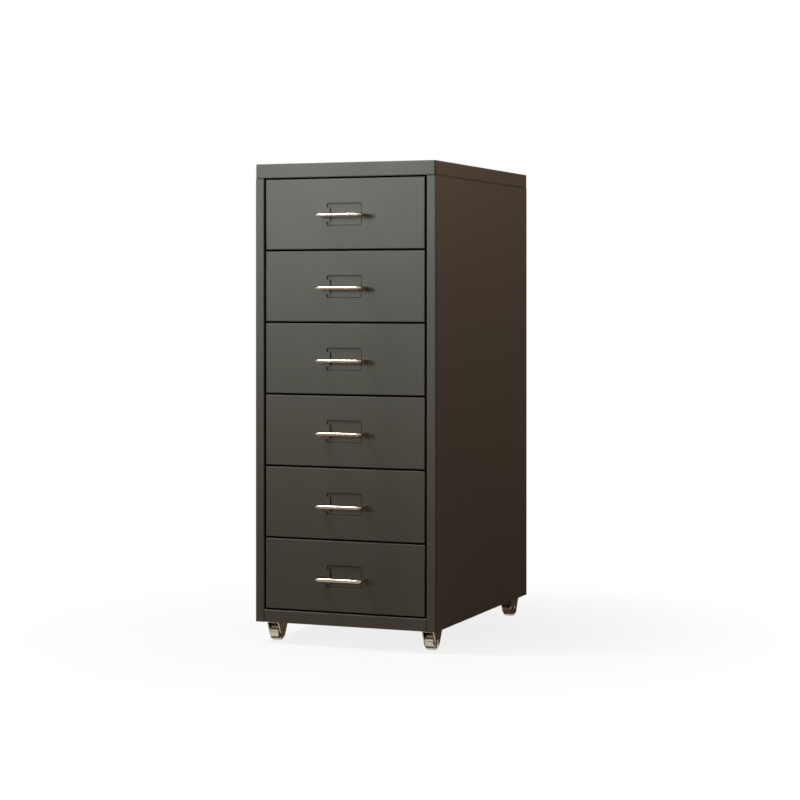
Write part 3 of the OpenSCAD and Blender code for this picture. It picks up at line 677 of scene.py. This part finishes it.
def drawer_handle(i):
    """A bent rod with threaded ends behind its shoulders."""
    low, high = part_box(f"drawer_{i}_handle")
    shape = Shape(lambda x, y, z: (x, FRONT_Y + y, (low.z + high.z) / 2 + z))
    leg = HANDLE_SPAN / 2
    grip = HANDLE_D / 2 - HANDLE_REACH
    line = [(-leg, 0, 0), (-leg, grip + HANDLE_BEND, 0)]
    line += [(-leg + HANDLE_BEND * (1 - math.cos(a)), grip + HANDLE_BEND * (1 - math.sin(a)), a)
             for a in quarter(12)]
    line += [(-x, y, math.pi - a) for x, y, a in line[::-1]]
    # The rod runs towards (sin a, -cos a), so its cross direction is (cos a, sin a)
    section = circle(HANDLE_D / 2, 32)
    shape.loft([[(x + u * math.cos(a), y + u * math.sin(a), v) for u, v in section]
                for x, y, a in line])
    shank = thread(HANDLE_THREAD_R, 0, HANDLE_THREAD_LEN)
    for sx in (-1, 1):
        shape.lathe(shank, lambda a, b, d: (sx * leg + a, d, b), n=20)
    shape.piece(f"drawer_{i}_rod", f"drawer_{i}", NICKEL, [f"drawer_{i}_handle"])


# ---- Castors ------------------------------------------------------------------------------------


def castor_place(name):
    """Places a castor, which is drawn about its swivel axis with its wheel towards -Y."""
    low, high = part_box(name + "_castor_wheel")
    sy = CASTORS[name]
    x = (low.x + high.x) / 2
    y = (low.y + high.y) / 2 - sy * TRAIL
    return lambda a, b, z: (x - sy * a, y - sy * b, z)


def along_axle(a, b, x):
    """Places what is drawn about the axle in the drawing about the swivel axis."""
    return x, -TRAIL + a, WHEEL_D / 2 + b


def cheek_reach(z, crown):
    """How far a cheek reaches from the axle at height z, where the crown reaches crown.

    Its round end about the axle runs on in a straight line, which touches it, to the crown.
    """
    up = z - WHEEL_D / 2
    corner = CROWN_Z - WHEEL_D / 2
    if up >= corner:
        return crown
    touch = math.atan2(corner, crown) - math.acos(FORK_TIP / math.hypot(crown, corner))
    touch_up = FORK_TIP * math.sin(touch)
    if up <= touch_up:
        return math.sqrt(max(FORK_TIP ** 2 - up ** 2, 0))
    return lerp(FORK_TIP * math.cos(touch), crown, (up - touch_up) / (corner - touch_up))


def castor_fork(name):
    """A strap folded over the wheel, with tapered cheeks, and the lower race on its crown."""
    shape = Shape(castor_place(name))
    axle_z = WHEEL_D / 2
    cheek = CHEEK_IN + FORK_T / 2
    mid = CROWN_TOP - FORK_T / 2
    outside, inside = folded([(-cheek, axle_z), (-cheek, mid), (cheek, mid), (cheek, axle_z)],
                             FORK_T, FORK_BEND)
    heights = [axle_z - FORK_TIP + FORK_TIP_START]
    heights += [axle_z - FORK_TIP * math.cos(a) for a in quarter(10)[1:-1]]
    heights += [lerp(axle_z, CROWN_Z - FORK_BEND, k / 8) for k in range(8)]
    # The strap's section from tip to tip, as its outer and inner (x, z)
    left = [((outside[0].x, z), (inside[0].x, z)) for z in heights]
    top = [((p.x, p.y), (q.x, q.y)) for p, q in zip(outside[1:-1], inside[1:-1])]
    right = [((-x0, z), (-x1, z)) for (x0, z), (x1, z) in left[::-1]]
    rings = []
    for (x0, z0), (x1, z1) in left + top + right:
        rings.append([(x, side * cheek_reach(z, crown) - TRAIL, z)
                      for x, z, side, crown in ((x0, z0, -1, CROWN_FORE), (x0, z0, 1, CROWN_AFT),
                                                (x1, z1, 1, CROWN_AFT), (x1, z1, -1, CROWN_FORE))])
    shape.loft(rings)
    shape.lathe([(r, CROWN_TOP + h) for r, h in RACE])
    shape.piece(name + "_fork", name + "_swivel", CHROME, [name + "_castor_fork"],
                bevel=FORK_EDGE)


def castor_wheel(name):
    """A turned metal wheel: hub, recessed sides, and a tread with round edges."""
    shape = Shape(castor_place(name))
    r, w, hub = WHEEL_D / 2, WHEEL_W / 2, AXLE_HEAD_D / 2
    recess = w - WHEEL_RECESS
    half = [(AXLE_D / 2 + BORE_GAP, w + HUB_PROUD), (hub - HUB_CHAMFER, w + HUB_PROUD),
            (hub, w + HUB_PROUD - HUB_CHAMFER), (hub, recess + HUB_CHAMFER),
            (hub + HUB_SLOPE, recess), (r - RIM_T - RIM_SLOPE, recess),
            (r - RIM_T, recess + RIM_RISE), (r - RIM_T, w)]
    half += [(r - TREAD_EDGE + TREAD_EDGE * math.sin(a), w - TREAD_EDGE + TREAD_EDGE * math.cos(a))
             for a in quarter(8)]
    profile = half + [(q, -x) for q, x in half[::-1]]
    rings = [[along_axle(a, b, x) for a, b in circle(q, 72)] for q, x in profile]
    shape.loft(rings + [rings[0]], first=False, last=False)
    shape.piece(name + "_wheel_turned", name + "_wheel", TURNED,
                [name + "_castor_wheel"])


def castor_axle(name):
    """A rivet with a domed head outside each cheek."""
    shape = Shape(castor_place(name))
    end = CHEEK_IN + FORK_T
    half = [(AXLE_D / 2, end)]
    half += [(AXLE_HEAD_D / 2 * math.cos(a), end + AXLE_HEAD_H * math.sin(a)) for a in quarter(8)]
    shape.lathe([(q, -x) for q, x in half[::-1]] + half, along_axle, n=40)
    shape.piece(name + "_rivet", name + "_swivel", CHROME, [name + "_castor_axle"])


def castor_stems():
    """Kingpin, race cap, hexagon, shoulder and threaded stem of all four castors."""
    low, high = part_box("castor_stems")
    shoulder_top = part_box("castor_plates")[0].z
    hex_low, shoulder_low, stem_low = (z - OVERLAP for z in (CAP_TOP, HEX_TOP, shoulder_top))
    pin_top = CROWN_Z - OVERLAP
    cap = [(0, CAP_RACE_Z), (CAP_IN_R, CAP_RACE_Z), (CAP_IN_R, CAP_LOW),
           (CAP_R - CAP_CHAMFER, CAP_LOW), (CAP_R, CAP_LOW + CAP_CHAMFER),
           (CAP_R, CAP_TOP - CAP_BEVEL), (CAP_R - CAP_SOFT, CAP_TOP - CAP_SOFT),
           (CAP_R - CAP_BEVEL, CAP_TOP), (0, CAP_TOP)]
    hexagon = circle(HEX_FLATS / 2 / math.cos(math.pi / 6), 6)
    hex_rows = [(HEX_ENDS, hex_low), (1, CAP_TOP + HEX_CHAMFER),
                (1, HEX_TOP - HEX_CHAMFER), (HEX_ENDS, HEX_TOP)]
    shoulder = [(0, shoulder_low), (SHOULDER_R, shoulder_low),
                (SHOULDER_R, shoulder_top - SHOULDER_CHAMFER),
                (SHOULDER_R - SHOULDER_CHAMFER, shoulder_top), (0, shoulder_top)]
    foot = [(KINGPIN_HEAD_R - inward, low.z + up) for inward, up in KINGPIN_ROUND]
    kingpin = [(0, low.z)] + foot + [(KINGPIN_HEAD_R, pin_top), (KINGPIN_R, pin_top),
                                     (KINGPIN_R, CAP_RACE_Z), (0, CAP_RACE_Z)]
    shape = Shape()
    for name in CASTORS:
        shape.place = castor_place(name)
        shape.lathe(cap)
        shape.loft([[(a * k, b * k, h) for a, b in hexagon] for k, h in hex_rows])
        shape.lathe(shoulder)
        shape.lathe(thread(STEM_R, stem_low, high.z, STEM_PITCH), n=32)
        shape.lathe(kingpin)
    shape.piece("castor_pins", "casing", CHROME, ["castor_stems"])


# ---- Stage, lamps and camera --------------------------------------------------------------------

WHITE = (1, 1, 1, 1)
ROOM = (0.078, 0.066, 0.054, 1)          # soft light from all round
FLOOR_HALF = 12.0
FLOOR_TONE = (0.8, 0.8, 0.8, 1)          # the floor that the camera sees, where the shadow falls
FLOOR_BOUNCE = (0.38, 0.30, 0.22, 1)     # what the floor gives back to the object
FADE_NEAR, FADE_FAR = 0.15, 0.6          # the shadow fades over this stretch from the middle
WHITE_NEAR = 0.84                        # share of plain white in the floor inside that stretch
CARD_Z = 4 * MM                          # the cards' floor strips lie this high

# The camera, fitted to the cabinet's straight edges in the photograph
LENS, SENSOR = 95.53, 36                 # mm
SHIFT_Y = -0.1318                        # the frame reaches further below the camera's level
CAMERA_AT = (1.19215, FRONT_Y - 2.79435, GROUND + 0.47544)
CAMERA_TURN = math.radians(21.597)


def seen(tree):
    """1 for camera, glossy and transmission rays, which see the plain white background."""
    path = tree.nodes.new("ShaderNodeLightPath")
    total = path.outputs["Is Camera Ray"]
    for key in ("Is Glossy Ray", "Is Transmission Ray"):
        higher = tree.nodes.new("ShaderNodeMath")
        higher.operation = "MAXIMUM"
        tree.links.new(total, higher.inputs[0])
        tree.links.new(path.outputs[key], higher.inputs[1])
        total = higher.outputs[0]
    return total


def mix_shaders(tree, share, a, b):
    made = tree.nodes.new("ShaderNodeMixShader")
    for socket, value in zip(made.inputs, (share, a, b)):
        tree.links.new(value, socket)
    return made.outputs[0]


def room():
    world = bpy.data.worlds.new("room")
    bpy.context.scene.world = world
    world.use_nodes = True
    tree = world.node_tree
    tree.nodes.clear()
    shaders = []
    for colour in (ROOM, WHITE):
        made = tree.nodes.new("ShaderNodeBackground")
        made.inputs["Color"].default_value = colour
        shaders.append(made.outputs[0])
    out = tree.nodes.new("ShaderNodeOutputWorld")
    tree.links.new(mix_shaders(tree, seen(tree), *shaders), out.inputs["Surface"])


def staged(name, points, faces):
    """A mesh object of the stage, which is no part of the cabinet."""
    mesh = bpy.data.meshes.new(name)
    mesh.from_pydata(points, [], faces)
    made = bpy.data.objects.new(name, mesh)
    bpy.context.scene.collection.objects.link(made)
    return made


def floor():
    """Pale and plain: near the object it takes the shadow, and further out it is the background."""
    far = FLOOR_HALF
    corners = [(-far, -far, 0), (far, -far, 0), (far, far, 0), (-far, far, 0)]
    made = staged("floor", corners, [(0, 1, 2, 3)])
    m = Material("pale_floor", Roughness=0.9, Specular_IOR_Level=0.1, Base_Color=FLOOR_TONE)
    bounce = m.node("ShaderNodeBsdfDiffuse", {"Color": FLOOR_BOUNCE}).outputs[0]
    white = m.node("ShaderNodeEmission", {"Color": WHITE}).outputs[0]
    away = m.node("ShaderNodeVectorMath", {"Vector": m.place}, operation="LENGTH").outputs["Value"]
    plain = m.spread(away, WHITE_NEAR, 1.0, FADE_NEAR, FADE_FAR)
    look = mix_shaders(m.tree, plain, m.shader.outputs[0], white)
    m.show(mix_shaders(m.tree, seen(m.tree), bounce, look))
    made.data.materials.append(m.made)


def lamp(name, at, towards, size, watts, rgb, spread=180):
    """A rectangular area lamp; spread is its beam's angle in degrees."""
    data = bpy.data.lights.new(name, "AREA")
    data.shape, data.size, data.size_y = "RECTANGLE", size[0], size[1]
    data.energy, data.color, data.spread = watts, rgb, math.radians(spread)
    made = bpy.data.objects.new(name, data)
    made.location = at
    made.rotation_euler = (Vector(towards) - Vector(at)).to_track_quat("-Z", "Y").to_euler()
    bpy.context.scene.collection.objects.link(made)


def lamps():
    """The overhead lamp stands to the left, where the fronts' top bends mirror it to the camera.

    The key's narrow beam makes the upper fronts brighter than the lower ones, the fill warms the
    lower fronts, and the rear lamp lights the right side.
    """
    lamp("overhead", at=(-1.05, -0.68, 2.9), towards=(0.0, -0.25, 0.35), size=(0.3, 1.3),
         watts=76, rgb=(1.0, 0.98, 0.95))
    lamp("key", at=(-1.5, -3.0, 1.05), towards=(0.15, -0.19, 1.15), size=(0.5, 0.8),
         watts=4.2, rgb=(0.84, 0.97, 0.93), spread=36)
    lamp("fill", at=(-0.4, -2.4, 0.7), towards=(0.0, -0.19, 0.35), size=(1.6, 1.2),
         watts=1.4, rgb=(1.0, 0.3, 0.1))
    lamp("rear", at=(1.75, 1.85, 1.15), towards=(0.14, 0.0, 0.4), size=(0.9, 0.8),
         watts=8.4, rgb=(1.0, 0.65, 0.43))


def card(name, foot, wall, height, low, high, dim=None):
    """A studio card, seen only in reflections: a strip of floor from foot to wall, and the wall.

    Its colour runs from low on the floor to high at the wall's top. It stays low where X is under
    the first value of dim, and is whole past the second.
    """
    (x0, y0), (x1, y1) = foot
    (x2, y2), (x3, y3) = wall
    points = [(x0, y0, CARD_Z), (x1, y1, CARD_Z), (x3, y3, CARD_Z), (x2, y2, CARD_Z),
              (x3, y3, height), (x2, y2, height)]
    made = staged(name, points, [(0, 1, 2, 3), (3, 2, 4, 5)])
    made.visible_camera = made.visible_diffuse = made.visible_shadow = False
    made.visible_transmission = made.visible_volume_scatter = False
    m = Material(name)
    share = m.spread(m.axis("Z"), 0, 1, 0, height)
    if dim:
        share = m.maths("MULTIPLY", share, m.spread(m.axis("X"), 0, 1, *dim))
    m.show(m.node("ShaderNodeEmission", {"Color": m.mix(share, low, high)}).outputs[0])
    made.data.materials.append(m.made)


def cards():
    """What the paint and the bright metal reflect to the right, in front and under the cabinet.

    The corner card keeps the space between the first two dark. The under card is painted shade: a
    dark sheet that stands in for the shadow beneath the cabinet in the castors' reflections.
    """
    card("card_right", foot=((0.17, -0.5), (2.4, -0.5)), wall=((0.0, 1.5), (2.4, 1.5)),
         height=1.4, low=(0.085, 0.055, 0.035, 1), high=(0.40, 0.26, 0.18, 1), dim=(0.3, 1.3))
    card("card_front", foot=((-2.4, -0.27), (0.5, -0.27)), wall=((-2.8, -2.4), (0.3, -2.4)),
         height=1.8, low=(0.30, 0.22, 0.16, 1), high=(0.9, 0.9, 0.9, 1))
    # painted shade: a dark sheet for the shadow beneath the cabinet, as the castors reflect it
    card("card_under", foot=((-0.13, -0.17), (0.13, -0.17)), wall=((-0.13, 0.2), (0.13, 0.2)),
         height=0.03, low=(0.13, 0.10, 0.07, 1), high=(0.18, 0.14, 0.10, 1))
    card("card_corner", foot=((0.6, -0.52), (2.4, -0.52)), wall=((1.5, -2.5), (2.4, -1.2)),
         height=1.6, low=(0.06, 0.04, 0.025, 1), high=(0.10, 0.08, 0.06, 1))


def camera():
    data = bpy.data.cameras.new("camera")
    data.sensor_width, data.lens, data.shift_y = SENSOR, LENS, SHIFT_Y
    made = bpy.data.objects.new("camera", data)
    made.location = CAMERA_AT
    made.rotation_euler = (math.radians(90), 0, CAMERA_TURN)
    bpy.context.scene.collection.objects.link(made)
    bpy.context.scene.camera = made


# ---- Scene --------------------------------------------------------------------------------------


def dress(node, material):
    """Gives its material to a CAD node that stays."""
    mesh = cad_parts[node].data
    mesh.materials.clear()
    mesh.materials.append(material)


lid()
side_panel("left_side", -1)
side_panel("right_side", 1)
base_pan()
back_screws()
dress("back_panel", PAINT)
for side in ("left", "right"):
    for i in DRAWERS:
        dress(f"{side}_runner_{i}", RUNNER_ZINC)
for node in ("lid_nuts", "castor_plates", "castor_nuts", "castor_balls"):
    dress(node, ZINC)
for i in DRAWERS:
    drawer_front(i)
    drawer_handle(i)
    dress(f"drawer_{i}_tray", INSIDE_PAINT)
    dress(f"drawer_{i}_handle_nuts", ZINC)
castor_stems()
for name in CASTORS:
    castor_fork(name)
    castor_wheel(name)
    castor_axle(name)

room()
floor()
lamps()
cards()
camera()
bpy.context.scene.view_settings.view_transform = "Standard"
